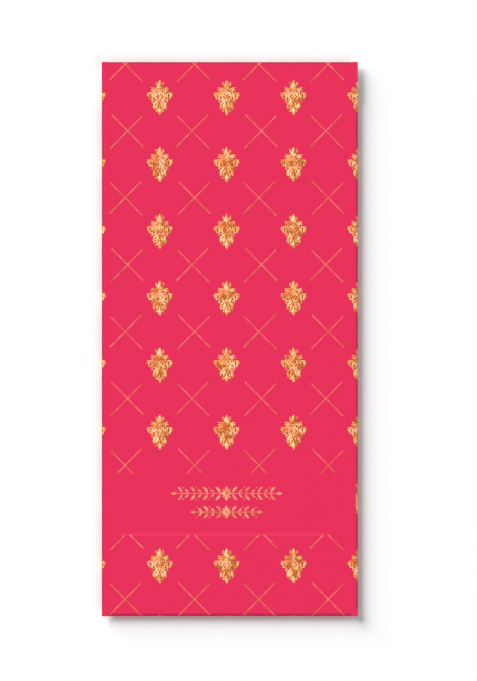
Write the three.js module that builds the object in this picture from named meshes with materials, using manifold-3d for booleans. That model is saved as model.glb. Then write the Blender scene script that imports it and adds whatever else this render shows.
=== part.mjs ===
// Gift money envelope: a tall pocket envelope for banknotes, folded from one die-cut sheet of printed board.
// The front panel folds behind itself along its left, right and bottom edges. The back panel comes from
// the left fold, and its free edge is glued over a narrow seam flap that comes from the right fold. The
// bottom flap is glued up over the back. The closing flap hinges on the scored fold along the top edge,
// and carries double-sided tape under a peel-off liner. Gold foil medallions and crosses lie on the front.
//
// Millimetres. The envelope lies closed on a table with its front up: +X to the right and +Y to the top
// edge as the front is read, +Z up. The origin is on the table under the middle of the envelope.

import * as THREE from "three";
import Module from "manifold-3d";

// Overall size and sheet
const ENVELOPE_WIDTH = 85;
const ENVELOPE_LENGTH = 184;
const BOARD = 0.3; // thickness of the sheet
const CORNER_RELIEF = 2; // each fold stops this far from a corner, where the sheet is cut away

// Free heights between the layers
const POCKET_CLEARANCE = 0.8; // room for the banknotes, over the seam flap
const LINER_CLEARANCE = 0.1; // air between the liner and the back panel, with the flap closed

// Back panel and side seam
const THROAT_DEPTH = 12; // how far the mouth of the pocket lies below the top edge
const THROAT_DIP = 4; // depth of the curve in the middle of the mouth
const THROAT_SHOULDER = 14; // straight stretch of the mouth at each side
const SEAM_FLAP_WIDTH = 14;
const SEAM_FLAP_TAPER = 3; // the seam flap is this much shorter along its free edge, at each end
const SEAM_SETBACK = 4; // from the right edge of the envelope to the free edge of the back panel
const GLUE_FILM = 0.1;
const GLUE_MARGIN = 1.5; // from a line of glue to the nearest edge that it holds

// Flaps
const BOTTOM_FLAP_DEPTH = 20;
const BOTTOM_FLAP_TAPER = 4;
const BOTTOM_FLAP_RADIUS = 4;
const BOTTOM_GLUE_WIDTH = 8;
const CLOSING_FLAP_DEPTH = 38;
const CLOSING_FLAP_TAPER = 5;
const CLOSING_FLAP_RADIUS = 9;

// Seal: tape on the inside of the closing flap, and the liner that covers it
const TAPE_THICKNESS = 0.1;
const TAPE_WIDTH = 8;
const TAPE_EDGE_GAP = 5; // from the free edge of the flap to the tape
const TAPE_END_GAP = 7; // from the side of the flap to the end of the tape
const LINER_THICKNESS = 0.1;
const LINER_OVERHANG = 1.5; // past the tape along both edges
const LINER_TAB = 5; // past the tape at its right end, to peel by

// Foil pattern: columns and rows of crosses with a medallion in the middle of each four, so that both
// repeat every 22.2 mm across and along
const FOIL_THICKNESS = 0.06;
const CROSS_COLUMNS = 4;
const CROSS_ROWS = 5;
const MEDALLION_ROWS = 8;
const LEFT_MARGIN = 8.2; // from the left edge to the first column of crosses
const RIGHT_MARGIN = 10.2; // from the right edge to their last column
const TOP_MARGIN = 11.9; // from the top edge to the first row of medallions
const BOTTOM_MARGIN = 16.7; // from the bottom edge to their last row
const BAND_FOOT = 27; // from the bottom edge to the plain band that the pattern leaves free
const BAND_HEIGHT = 20.3;

// The two strokes of a cross, each by its middle, its half width and height, and its own breadth
const CROSS_STROKES = [
  { middle: [0.3, 0.2], across: 5.3, rise: -5.4, breadth: 0.23 },
  { middle: [0, -0.35], across: 5.3, rise: 5.4, breadth: 0.16 },
];

const LEAF_SEGMENTS = 4; // straight pieces along each side of a leaf
const SMALLEST_DETAIL = 0.03;

// The leaves of one medallion, each from its base to its tip, in the medallion's own frame. The paired
// leaves are those of the right half. bend bows a leaf to the left of its way.
const CENTRE_LEAVES = {
  crown: { base: [0, 0.9], tip: [0, 6], width: 2.1, bend: 0 },
  heart: { base: [0, -2.4], tip: [0, 3], width: 3, bend: 0 },
  pendant: { base: [0, -3], tip: [0, -6], width: 1.3, bend: 0 },
};
const PAIRED_LEAVES = {
  crownSide: { base: [0.5, 2.5], tip: [1.35, 5.35], width: 0.6, bend: -0.25 },
  shoulder: { base: [0.4, 1.9], tip: [3, 3.4], width: 1.1, bend: 0.1 },
  shoulderLower: { base: [0.6, 1.6], tip: [2.75, 2.35], width: 0.8, bend: 0 },
  palmette: { base: [0.9, 0.4], tip: [4.3, 1.75], width: 1.3, bend: -0.2 },
  palmetteLower: { base: [0.9, 0.3], tip: [4.35, 0.2], width: 1.3, bend: 0.25 },
  skirt: { base: [0.8, 0], tip: [3.6, -0.75], width: 1.1, bend: 0.2 },
  skirtLower: { base: [0.5, -0.4], tip: [2.75, -1.75], width: 1, bend: 0.2 },
  bulb: { base: [0.9, -1.3], tip: [1.1, -4.3], width: 2.2, bend: 0.2 },
  spur: { base: [0.1, -3.9], tip: [1.75, -4.6], width: 0.7, bend: 0.1 },
};

// Undersides of the layers above the table, from the outermost flap up to the foil
const closingFlapLevel = 0;
const tapeLevel = closingFlapLevel + BOARD;
const linerLevel = tapeLevel + TAPE_THICKNESS;
const backLevel = linerLevel + LINER_THICKNESS + LINER_CLEARANCE;
const bottomGlueLevel = backLevel - GLUE_FILM;
const bottomFlapLevel = bottomGlueLevel - BOARD;
const seamGlueLevel = backLevel + BOARD;
const seamFlapLevel = seamGlueLevel + GLUE_FILM;
const frontLevel = seamFlapLevel + BOARD + POCKET_CLEARANCE;
const foilLevel = frontLevel + BOARD;

// A fold bends the sheet half round, from the front panel down to the layer that it turns into.
function foldTo(level) {
  const outer = (foilLevel - level) / 2;
  return { outer, inner: outer - BOARD, axisLevel: level + outer };
}

const leftFold = foldTo(backLevel);
const rightFold = foldTo(seamFlapLevel);
const bottomFold = foldTo(bottomFlapLevel);
const topFold = foldTo(closingFlapLevel);

const halfWidth = ENVELOPE_WIDTH / 2;
const halfLength = ENVELOPE_LENGTH / 2;
const leftFlat = -halfWidth + leftFold.outer; // where the flat of the front ends and each fold begins
const rightFlat = halfWidth - rightFold.outer;
const bottomFlat = -halfLength + bottomFold.outer;
const topFlat = halfLength - topFold.outer;
const throat = halfLength - THROAT_DEPTH;
const foot = -halfLength + CORNER_RELIEF;
const foldHalfWidth = halfWidth - CORNER_RELIEF; // half the length of the top and bottom folds

const board = new THREE.MeshStandardMaterial({ color: "#e7325b", roughness: 0.7, metalness: 0 });
const glue = new THREE.MeshStandardMaterial({ color: "#d9c9a3", roughness: 0.5, metalness: 0 });
const tape = new THREE.MeshStandardMaterial({ color: "#e9e6da", roughness: 0.35, metalness: 0 });
const liner = new THREE.MeshStandardMaterial({ color: "#f4ecd2", roughness: 0.4, metalness: 0 });
const foil = new THREE.MeshStandardMaterial({ color: "#e69661", roughness: 0.35, metalness: 1 });

const wasm = await Module();
wasm.setup();

function geometryOf(solid) {
  const mesh = solid.getMesh();
  return new THREE.BufferGeometry()
    .setAttribute("position", new THREE.BufferAttribute(mesh.vertProperties, 3))
    .setIndex(new THREE.BufferAttribute(mesh.triVerts, 1));
}

function namedMesh(name, geometry, material) {
  const mesh = new THREE.Mesh(geometry, material);
  mesh.name = name;
  return mesh;
}

// A flat piece cut from sheet, whose underside lies at the given level.
function flatPiece(name, outline, thickness, level, material) {
  const geometry = new THREE.ExtrudeGeometry(outline, {
    depth: thickness,
    bevelEnabled: false,
    curveSegments: 10,
  });
  const mesh = namedMesh(name, geometry, material);
  mesh.position.z = level;
  return mesh;
}

function rectangle(left, bottom, right, top) {
  return new THREE.Shape([
    new THREE.Vector2(left, bottom),
    new THREE.Vector2(right, bottom),
    new THREE.Vector2(right, top),
    new THREE.Vector2(left, top),
  ]);
}

// The front panel, full size at its corners, and set back where a fold takes over from it.
function frontOutline() {
  const outline = new THREE.Shape();
  outline.moveTo(-halfWidth, -halfLength);
  outline.lineTo(-foldHalfWidth, -halfLength);
  outline.lineTo(-foldHalfWidth, bottomFlat);
  outline.lineTo(foldHalfWidth, bottomFlat);
  outline.lineTo(foldHalfWidth, -halfLength);
  outline.lineTo(halfWidth, -halfLength);
  outline.lineTo(halfWidth, foot);
  outline.lineTo(rightFlat, foot);
  outline.lineTo(rightFlat, throat);
  outline.lineTo(halfWidth, throat);
  outline.lineTo(halfWidth, halfLength);
  outline.lineTo(foldHalfWidth, halfLength);
  outline.lineTo(foldHalfWidth, topFlat);
  outline.lineTo(-foldHalfWidth, topFlat);
  outline.lineTo(-foldHalfWidth, halfLength);
  outline.lineTo(-halfWidth, halfLength);
  outline.lineTo(-halfWidth, throat);
  outline.lineTo(leftFlat, throat);
  outline.lineTo(leftFlat, foot);
  outline.lineTo(-halfWidth, foot);
  return outline;
}

// The back panel, with the mouth of the pocket curved down in the middle for a thumb.
function backOutline() {
  const right = halfWidth - SEAM_SETBACK;
  const dipHalfWidth = halfWidth - THROAT_SHOULDER;
  const outline = new THREE.Shape();
  outline.moveTo(leftFlat, foot);
  outline.lineTo(right, foot);
  outline.lineTo(right, throat);
  outline.lineTo(dipHalfWidth, throat);
  outline.bezierCurveTo(
    dipHalfWidth / 2, throat,
    dipHalfWidth / 2, throat - THROAT_DIP,
    0, throat - THROAT_DIP,
  );
  outline.bezierCurveTo(
    -dipHalfWidth / 2, throat - THROAT_DIP,
    -dipHalfWidth / 2, throat,
    -dipHalfWidth, throat,
  );
  outline.lineTo(leftFlat, throat);
  return outline;
}

function seamFlapOutline() {
  const free = rightFlat - SEAM_FLAP_WIDTH;
  return new THREE.Shape([
    new THREE.Vector2(rightFlat, foot),
    new THREE.Vector2(rightFlat, throat),
    new THREE.Vector2(free, throat - SEAM_FLAP_TAPER),
    new THREE.Vector2(free, foot + SEAM_FLAP_TAPER),
  ]);
}

// A flap that narrows towards its free edge, whose two free corners are rounded. Its fold lies on the X
// axis, and it runs along +Y.
function flapOutline(depth, taper, radius) {
  const base = new THREE.Vector2(foldHalfWidth, 0);
  const corner = new THREE.Vector2(foldHalfWidth - taper, depth);
  const before = corner.clone().add(base.clone().sub(corner).setLength(radius));
  const outline = new THREE.Shape();
  outline.moveTo(-base.x, base.y);
  outline.lineTo(base.x, base.y);
  outline.lineTo(before.x, before.y);
  outline.quadraticCurveTo(corner.x, corner.y, corner.x - radius, corner.y);
  outline.lineTo(-corner.x + radius, corner.y);
  outline.quadraticCurveTo(-corner.x, corner.y, -before.x, before.y);
  return outline;
}

// Half the width of such a flap at a distance from its fold.
function flapHalfWidthAt(distance, depth, taper) {
  return foldHalfWidth - (taper * distance) / depth;
}

// The half-round bend of the sheet along a fold, with the middle of its axis at the point x, y. It
// bulges out along the bearing, an angle from +X.
function foldPiece(name, fold, length, x, y, bearing) {
  const profile = new THREE.Shape();
  profile.absarc(0, 0, fold.outer, -Math.PI / 2, Math.PI / 2, false);
  profile.absarc(0, 0, fold.inner, Math.PI / 2, -Math.PI / 2, true);
  const geometry = new THREE.ExtrudeGeometry(profile, {
    depth: length,
    bevelEnabled: false,
    curveSegments: 10,
  })
    .translate(0, 0, -length / 2)
    .rotateX(Math.PI / 2);
  const mesh = namedMesh(name, geometry, board);
  mesh.position.set(x, y, fold.axisLevel);
  mesh.rotation.z = bearing;
  return mesh;
}

// One pointed leaf: two curves from its base to its tip and back.
function leafOutline({ base, tip, width, bend }) {
  const from = new THREE.Vector2(...base);
  const to = new THREE.Vector2(...tip);
  const left = to.clone().sub(from).normalize().rotateAround(new THREE.Vector2(), Math.PI / 2);
  const middle = from.clone().add(to).multiplyScalar(0.5).addScaledVector(left, 2 * bend);
  const rightSide = middle.clone().addScaledVector(left, -width);
  const leftSide = middle.clone().addScaledVector(left, width);
  const outline = new THREE.Shape();
  outline.moveTo(from.x, from.y);
  outline.quadraticCurveTo(rightSide.x, rightSide.y, to.x, to.y);
  outline.quadraticCurveTo(leftSide.x, leftSide.y, from.x, from.y);
  return outline;
}

function mirroredLeaf(leaf) {
  return {
    ...leaf,
    base: [-leaf.base[0], leaf.base[1]],
    tip: [-leaf.tip[0], leaf.tip[1]],
    bend: -leaf.bend,
  };
}

// One patch of foil over all the outlines, with its underside at level 0.
function foilGeometry(outlines) {
  const patch = outlines
    .map((outline) => outline.getPoints(LEAF_SEGMENTS).map((point) => point.toArray()))
    .map((points) => new wasm.CrossSection([points]))
    .reduce((whole, next) => whole.add(next))
    .simplify(SMALLEST_DETAIL);
  return geometryOf(patch.extrude(FOIL_THICKNESS));
}

function medallionGeometry() {
  const pairs = Object.values(PAIRED_LEAVES);
  const leaves = [...Object.values(CENTRE_LEAVES), ...pairs, ...pairs.map(mirroredLeaf)];
  return foilGeometry(leaves.map(leafOutline));
}

function strokeOutline({ middle, across, rise, breadth }) {
  const centre = new THREE.Vector2(...middle);
  const reach = new THREE.Vector2(across, rise);
  const side = new THREE.Vector2(-rise, across).setLength(breadth / 2);
  return new THREE.Shape([
    centre.clone().sub(reach).sub(side),
    centre.clone().add(reach).sub(side),
    centre.clone().add(reach).add(side),
    centre.clone().sub(reach).add(side),
  ]);
}

function mirroredStroke(stroke) {
  return { ...stroke, middle: [-stroke.middle[0], stroke.middle[1]], rise: -stroke.rise };
}

// Whether a motif placed at the height y is clear of the plain band.
function clearsBand(geometry, y) {
  geometry.computeBoundingBox();
  const { min, max } = geometry.boundingBox;
  const bandFoot = -halfLength + BAND_FOOT;
  return y + min.y > bandFoot + BAND_HEIGHT || y + max.y < bandFoot;
}

// Rows of motifs from the first place, at the top left, down and to the right. Each motif is named by its
// row and column, and the plain band is left free.
function foilRows(name, rows, columns, first, pitch, geometryAt) {
  const motifs = [];
  for (let row = 0; row < rows; row++) {
    for (let column = 0; column < columns; column++) {
      const x = first.x + column * pitch.x;
      const y = first.y - row * pitch.y;
      const geometry = geometryAt(row, column);
      if (!clearsBand(geometry, y)) continue;
      const motif = namedMesh(`${name}_${row + 1}_${column + 1}`, geometry, foil);
      motif.position.set(x, y, foilLevel);
      motifs.push(motif);
    }
  }
  return motifs;
}

// The crosses are mirrored by turns, like the squares of a chessboard.
function foilPattern() {
  const pitch = new THREE.Vector2(
    (ENVELOPE_WIDTH - LEFT_MARGIN - RIGHT_MARGIN) / (CROSS_COLUMNS - 1),
    (ENVELOPE_LENGTH - TOP_MARGIN - BOTTOM_MARGIN) / (MEDALLION_ROWS - 1),
  );
  const firstCross = new THREE.Vector2(
    -halfWidth + LEFT_MARGIN,
    halfLength - TOP_MARGIN - pitch.y / 2,
  );
  const firstMedallion = firstCross.clone().addScaledVector(pitch, 0.5);
  const medallion = medallionGeometry();
  const crosses = [CROSS_STROKES, CROSS_STROKES.map(mirroredStroke)].map((strokes) =>
    foilGeometry(strokes.map(strokeOutline)),
  );
  const medallionAt = () => medallion;
  const crossAt = (row, column) => crosses[(row + column) % 2];
  const pattern = new THREE.Group();
  pattern.add(
    ...foilRows("medallion", MEDALLION_ROWS, CROSS_COLUMNS - 1, firstMedallion, pitch, medallionAt),
    ...foilRows("cross", CROSS_ROWS, CROSS_COLUMNS, firstCross, pitch, crossAt),
  );
  return pattern;
}

// The glued pocket: front, back, seam flap and bottom flap, with the bends and glue that join them.
function pocket() {
  const group = new THREE.Group();
  const sideLength = throat - foot;
  const sideMiddle = (throat + foot) / 2;
  const seamFree = rightFlat - SEAM_FLAP_WIDTH;
  const seamEnd = SEAM_FLAP_TAPER + GLUE_MARGIN;
  const bottomFlap = flatPiece(
    "bottom_flap",
    flapOutline(BOTTOM_FLAP_DEPTH, BOTTOM_FLAP_TAPER, BOTTOM_FLAP_RADIUS),
    BOARD,
    bottomFlapLevel,
    board,
  );
  bottomFlap.position.y = bottomFlat;
  const glueTop = BOTTOM_FLAP_DEPTH - GLUE_MARGIN;
  const bottomGlueHalf =
    flapHalfWidthAt(glueTop, BOTTOM_FLAP_DEPTH, BOTTOM_FLAP_TAPER) - BOTTOM_FLAP_RADIUS;
  group.add(
    flatPiece("front_panel", frontOutline(), BOARD, frontLevel, board),
    flatPiece("back_panel", backOutline(), BOARD, backLevel, board),
    flatPiece("side_seam_flap", seamFlapOutline(), BOARD, seamFlapLevel, board),
    bottomFlap,
    foldPiece("left_fold", leftFold, sideLength, leftFlat, sideMiddle, Math.PI),
    foldPiece("right_fold", rightFold, sideLength, rightFlat, sideMiddle, 0),
    foldPiece("bottom_fold", bottomFold, 2 * foldHalfWidth, 0, bottomFlat, -Math.PI / 2),
    foldPiece("top_fold", topFold, 2 * foldHalfWidth, 0, topFlat, Math.PI / 2),
    flatPiece(
      "side_seam_glue",
      rectangle(
        seamFree + GLUE_MARGIN,
        foot + seamEnd,
        halfWidth - SEAM_SETBACK - GLUE_MARGIN,
        throat - seamEnd,
      ),
      GLUE_FILM,
      seamGlueLevel,
      glue,
    ),
    flatPiece(
      "bottom_flap_glue",
      rectangle(
        -bottomGlueHalf,
        bottomFlat + glueTop - BOTTOM_GLUE_WIDTH,
        bottomGlueHalf,
        bottomFlat + glueTop,
      ),
      GLUE_FILM,
      bottomGlueLevel,
      glue,
    ),
  );
  return group;
}

// The closing flap and its seal, in a group whose origin lies on the axis of the top fold. Turning the
// group about X from 0 to half a turn opens the flap.
function closingFlap() {
  const group = new THREE.Group();
  group.position.set(0, topFlat, topFold.axisLevel);
  const below = (level) => level - topFold.axisLevel;
  const flap = flatPiece(
    "closing_flap",
    flapOutline(CLOSING_FLAP_DEPTH, CLOSING_FLAP_TAPER, CLOSING_FLAP_RADIUS),
    BOARD,
    below(closingFlapLevel),
    board,
  );
  flap.rotation.z = Math.PI;
  const tapeFoot = -CLOSING_FLAP_DEPTH + TAPE_EDGE_GAP;
  const tapeHalf =
    flapHalfWidthAt(-tapeFoot, CLOSING_FLAP_DEPTH, CLOSING_FLAP_TAPER) - TAPE_END_GAP;
  group.add(
    flap,
    flatPiece(
      "seal_tape",
      rectangle(-tapeHalf, tapeFoot, tapeHalf, tapeFoot + TAPE_WIDTH),
      TAPE_THICKNESS,
      below(tapeLevel),
      tape,
    ),
    flatPiece(
      "release_liner",
      rectangle(
        -tapeHalf,
        tapeFoot - LINER_OVERHANG,
        tapeHalf + LINER_TAB,
        tapeFoot + TAPE_WIDTH + LINER_OVERHANG,
      ),
      LINER_THICKNESS,
      below(linerLevel),
      liner,
    ),
  );
  return group;
}

const envelope = new THREE.Group();
envelope.name = "gift_money_envelope";
envelope.add(pocket(), closingFlap(), foilPattern());

export default envelope;
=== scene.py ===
"""The looks of a gift money envelope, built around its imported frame.

The envelope lies closed on its back with its front up: +X to the right and +Y to the top edge as the front
is read, +Z out of the front. It is folded from one die-cut sheet, the blank. A place on the blank is given
as (u, v, h): u and v are where it would lie with the sheet spread flat in the plane of the front, and h is
its height over the printed face. Lengths are in metres, and those written in millimetres are times MM.
"""
import logging
import math
from collections.abc import Callable, Iterable, Iterator, Sequence
from dataclasses import dataclass, replace
from enum import Enum

import bmesh
import bpy
from bmesh.types import BMEdge, BMesh, BMVert
from bpy.types import Material, Node, NodeSocket, NodeTree, Object
from mathutils import Matrix, Vector


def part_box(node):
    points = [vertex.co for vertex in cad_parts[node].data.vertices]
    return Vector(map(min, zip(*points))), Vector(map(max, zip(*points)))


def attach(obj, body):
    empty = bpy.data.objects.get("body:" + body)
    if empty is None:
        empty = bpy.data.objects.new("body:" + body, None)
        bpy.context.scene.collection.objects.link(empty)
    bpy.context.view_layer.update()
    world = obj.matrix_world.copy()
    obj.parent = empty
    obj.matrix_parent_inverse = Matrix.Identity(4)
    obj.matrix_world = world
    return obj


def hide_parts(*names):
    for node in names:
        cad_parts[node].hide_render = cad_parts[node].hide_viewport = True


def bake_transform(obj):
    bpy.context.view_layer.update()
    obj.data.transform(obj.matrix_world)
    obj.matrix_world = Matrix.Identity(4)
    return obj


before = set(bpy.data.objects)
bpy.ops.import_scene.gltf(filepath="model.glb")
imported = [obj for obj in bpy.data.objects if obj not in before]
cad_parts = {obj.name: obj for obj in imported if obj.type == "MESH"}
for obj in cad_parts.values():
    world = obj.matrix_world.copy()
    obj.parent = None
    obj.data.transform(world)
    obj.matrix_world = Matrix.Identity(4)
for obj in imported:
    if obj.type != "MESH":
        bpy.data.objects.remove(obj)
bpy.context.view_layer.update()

log = logging.getLogger("envelope")

MM = 0.001
TOUCH = 0.002 * MM  # two places closer than this are the same
HINGE_GAP = 0.01 * MM  # between the closing flap and the front, when the flap lies open beside it
UP = Vector((0, 0, 1))
# The sheet's layer of painted shade along the folds: 0 on the flat, rising round each fold to its ridge,
# times that fold's strength of painted shade.
PAINTED_FOLD_SHADE = "crease"  # how far a point of the sheet lies round a fold, from 0 on the flat to 1 on its ridge
# The foil's painted shade follows depth, and the painted reflection of the ink on the medallions' rims
# follows rim.
DEPTH = "depth"  # how low a point of an ornament lies, from 0 on its ridges to 1 on its ground
RIM = "rim"  # how near a point of an ornament is to its outline, from 0 to 1
BLUNTNESS = 0.8  # of a leaf's ends: at 1 its sides are sine waves, and below that they are fuller
NEARBY = 0.05  # share of a leaf's length, to each side of a point, over which its way there is measured


def linear(colour: str) -> tuple[float, float, float, float]:
    """Turns an sRGB colour into the linear one that the shaders take.

    Args:
        colour: "#rrggbb".

    Returns:
        Red, green, blue and an alpha of 1.
    """
    parts = [int(colour[i:i + 2], 16) / 255 for i in (1, 3, 5)]
    red, green, blue = (c / 12.92 if c <= 0.04045 else ((c + 0.055) / 1.055) ** 2.4 for c in parts)
    return red, green, blue, 1.0


def add_node(tree: NodeTree, kind: str, inputs: dict | None = None, **settings) -> Node:
    """Adds a shader node with its settings and links.

    Args:
        tree: where the node goes.
        kind: the node's type, such as "TexNoise".
        inputs: what each input takes, by name, or by number where names repeat, as in a Mix node. It is a
            value, or the socket that feeds it.
        settings: the node's own properties.

    Returns:
        The new node.
    """
    node = tree.nodes.new("ShaderNode" + kind)
    for name, value in settings.items():
        setattr(node, name, value)
    for name, value in (inputs or {}).items():
        if isinstance(value, NodeSocket):
            tree.links.new(value, node.inputs[name])
        else:
            node.inputs[name].default_value = value
    return node


@dataclass(frozen=True)
class Finish:
    """A surface, named for what it is made of and how. Each kind dresses the one shader of its material."""

    name: str

    def material(self) -> Material:
        """Finds the material of this finish, or makes it when it is first asked for.

        Returns:
            The one material that all its pieces share.
        """
        if self.name in bpy.data.materials:
            return bpy.data.materials[self.name]
        made = bpy.data.materials.new(self.name)
        made.use_nodes = True
        tree = made.node_tree
        tree.nodes.clear()
        shader = add_node(tree, "BsdfPrincipled")
        add_node(tree, "OutputMaterial", {"Surface": shader.outputs["BSDF"]})
        self.dress(tree, shader)
        return made

    def dress(self, tree: NodeTree, shader: Node) -> None:
        """Sets the shader's inputs and the nodes that feed them."""
        raise NotImplementedError


@dataclass(frozen=True)
class Sheetstock(Finish):
    """Paper or board: fibres felted together, plain, coated or printed.

    Attributes:
        colour: the colour over most of the surface.
        mottle: the colour of its darker patches.
        mottle_size: width of a patch.
        tooth_size: width of a bump of the surface.
        tooth_height: height of such a bump.
        roughness: of the smoothest and the roughest places.
        gloss: the shader's specular level.
        painted_fold_shade: the colour of painted shade along the folds, or None where none is painted.
    """

    colour: str
    mottle: str
    mottle_size: float
    tooth_size: float
    tooth_height: float
    roughness: tuple[float, float]
    gloss: float
    painted_fold_shade: str | None = None

    def dress(self, tree: NodeTree, shader: Node) -> None:
        """Sets the shader's inputs and the nodes that feed them.

        Args:
            tree: the material's nodes.
            shader: the one that lights its surface.
        """
        place = add_node(tree, "TexCoord").outputs["Object"]
        patches, tooth = (
            add_node(tree, "TexNoise", {"Vector": place, "Scale": 1 / size, "Detail": detail}).outputs[0]
            for size, detail in ((self.mottle_size, 3.0), (self.tooth_size, 2.0))
        )
        mix = {0: patches, 6: linear(self.mottle), 7: linear(self.colour)}
        colour = add_node(tree, "Mix", mix, data_type="RGBA").outputs[2]
        # Painted shade: the colour turns deeper round the folds, as far as the sheet's layer says.
        if self.painted_fold_shade:
            crease = add_node(tree, "Attribute", attribute_name=PAINTED_FOLD_SHADE).outputs["Fac"]
            mix = {0: crease, 6: colour, 7: linear(self.painted_fold_shade)}
            colour = add_node(tree, "Mix", mix, data_type="RGBA").outputs[2]
        smooth, rough = self.roughness
        roughness = add_node(tree, "MapRange", {"Value": tooth, "To Min": smooth, "To Max": rough})
        bump = add_node(tree, "Bump", {"Height": tooth, "Strength": 1.0, "Distance": self.tooth_height})
        tree.links.new(colour, shader.inputs["Base Color"])
        tree.links.new(roughness.outputs[0], shader.inputs["Roughness"])
        tree.links.new(bump.outputs[0], shader.inputs["Normal"])
        shader.inputs["Specular IOR Level"].default_value = self.gloss


@dataclass(frozen=True)
class StampedFoil(Finish):
    """Gold foil stamped hot into board: metal, crinkled, in patches from pale gold to copper.

    Attributes:
        shades: share of the range at which each colour is met, from the darkest to the palest.
        patch_size: width of a patch of one colour.
        fleck: the colour of the dark flecks in it, where the antique lacquer is thick.
        fleck_size: width of a fleck.
        flecked: how far up the flecks' pattern they begin and are full.
        ground: the colour of painted shade on the lowest parts of an ornament.
        painted_hollow_shade: how low that painted shade begins, and where its colour is full.
        painted_ink_reflection: the colour of the painted reflection of the ink close beside it, on its rim.
        painted_ink_reflection_full: how near the outline that painted reflection would be full, where 1 is
            on it and more is past it.
        crinkle_size: width of a wrinkle.
        crinkle_height: height of a wrinkle.
        roughness: of the metal.
    """

    shades: tuple[tuple[float, str], ...]
    patch_size: float
    fleck: str
    fleck_size: float
    flecked: tuple[float, float]
    ground: str
    painted_hollow_shade: tuple[float, float]
    painted_ink_reflection: str
    painted_ink_reflection_full: float
    crinkle_size: float
    crinkle_height: float
    roughness: float

    def dress(self, tree: NodeTree, shader: Node) -> None:
        """Sets the shader's inputs and the nodes that feed them.

        Args:
            tree: the material's nodes.
            shader: the one that lights its surface.
        """
        place = add_node(tree, "TexCoord").outputs["Object"]
        patches, specks, wrinkles = (
            add_node(tree, "TexNoise", {"Vector": place, "Scale": 1 / size, "Detail": detail}).outputs[0]
            for size, detail in ((self.patch_size, 2.0), (self.fleck_size, 1.0), (self.crinkle_size, 1.0))
        )
        depth, rim = (
            add_node(tree, "Attribute", attribute_name=name).outputs["Fac"] for name in (DEPTH, RIM)
        )
        ramp = add_node(tree, "ValToRGB", {"Fac": patches})
        stops = ramp.color_ramp.elements
        while len(stops) < len(self.shades):
            stops.new(1.0)
        for stop, (share, colour) in zip(stops, self.shades):
            stop.position = share
            stop.color = linear(colour)
        colour = ramp.outputs[0]
        # Over the patches: painted reflection of the ink on the rim, the dark flecks, and painted shade on
        # the lowest parts.
        for amount, (start, full), tint in (
            (rim, (0.0, self.painted_ink_reflection_full), self.painted_ink_reflection),
            (specks, self.flecked, self.fleck),
            (depth, self.painted_hollow_shade, self.ground),
        ):
            share = add_node(tree, "MapRange", {"Value": amount, "From Min": start, "From Max": full})
            mix = {0: share.outputs[0], 6: colour, 7: linear(tint)}
            colour = add_node(tree, "Mix", mix, data_type="RGBA").outputs[2]
        bump = add_node(
            tree, "Bump", {"Height": wrinkles, "Strength": 1.0, "Distance": self.crinkle_height}
        )
        tree.links.new(colour, shader.inputs["Base Color"])
        tree.links.new(bump.outputs[0], shader.inputs["Normal"])
        shader.inputs["Metallic"].default_value = 1.0
        shader.inputs["Roughness"].default_value = self.roughness


# Coated board, offset-printed in one flat ink: an even crimson, whose low sheen is all that the coat shows.
# Along the folds the colour is turned deeper with painted shade, most on the left and top folds that face
# the key light.
PRINTED_FACE = Sheetstock(
    "coated_board_offset_printed_crimson",
    colour="#e82e5a",
    mottle="#e62c58",
    mottle_size=2.5 * MM,
    tooth_size=0.35 * MM,
    tooth_height=0.004 * MM,
    roughness=(0.55, 0.7),
    gloss=0.12,
    painted_fold_shade="#7f1530",
)
# The uncoated back of the same board: matt, ivory, with the cloudy look of felted pulp.
BARE_FACE = Sheetstock(
    "uncoated_board_ivory_pulp",
    colour="#f4eee2",
    mottle="#ece4d5",
    mottle_size=1.6 * MM,
    tooth_size=0.25 * MM,
    tooth_height=0.012 * MM,
    roughness=(0.8, 0.95),
    gloss=0.3,
)
# The die-cut edge of the board: torn fibres, a little darker than the faces.
CUT_EDGE = Sheetstock(
    "board_die_cut_edge",
    colour="#efe2d2",
    mottle="#dcc6b4",
    mottle_size=0.4 * MM,
    tooth_size=0.12 * MM,
    tooth_height=0.02 * MM,
    roughness=(0.85, 1.0),
    gloss=0.2,
)
# Gold foil with an antique pattern of its own: pale peach gold that turns to copper in cloudy patches, with
# small dark flecks.
# Its lowest parts carry painted shade, and the rims of its medallions a painted reflection of the ink beside
# them.
GOLD_FOIL = StampedFoil(
    "aluminium_foil_gold_lacquered_hot_stamped",
    shades=(
        (0.33, "#b36236"),
        (0.4, "#c47946"),
        (0.45, "#d38e5a"),
        (0.5, "#dfa06d"),
        (0.55, "#e9ab7c"),
        (0.6, "#f1b28a"),
        (0.68, "#f8b998"),
    ),
    patch_size=2.6 * MM,
    fleck="#8a4420",
    fleck_size=0.45 * MM,
    flecked=(0.57, 0.69),
    ground="#a75a2e",
    painted_hollow_shade=(0.55, 1.0),
    painted_ink_reflection="#d49055",
    painted_ink_reflection_full=1.5,
    crinkle_size=0.5 * MM,
    crinkle_height=0.004 * MM,
    roughness=0.62,
)
# The same foil in small leaves and stems, where it is pressed flatter; its shades are warmer and darker, a
# painted reflection of the ink beside it.
FINE_FOIL = replace(
    GOLD_FOIL,
    name="aluminium_foil_gold_lacquered_hot_stamped_fine",
    shades=((0.36, "#b97249"), (0.5, "#cb8562"), (0.64, "#dc9a78")),
    flecked=(0.9, 1.0),
    crinkle_height=0.001 * MM,
    roughness=0.6,
)
# The same foil in a hairline, whose shades are redder: painted reflection of the ink close along both its
# sides.
HAIRLINE_FOIL = replace(
    FINE_FOIL,
    name="aluminium_foil_gold_lacquered_hot_stamped_hairline",
    shades=((0.36, "#b9633f"), (0.5, "#c87056"), (0.64, "#d68070")),
)
FOILS = (GOLD_FOIL, HAIRLINE_FOIL)
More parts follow.
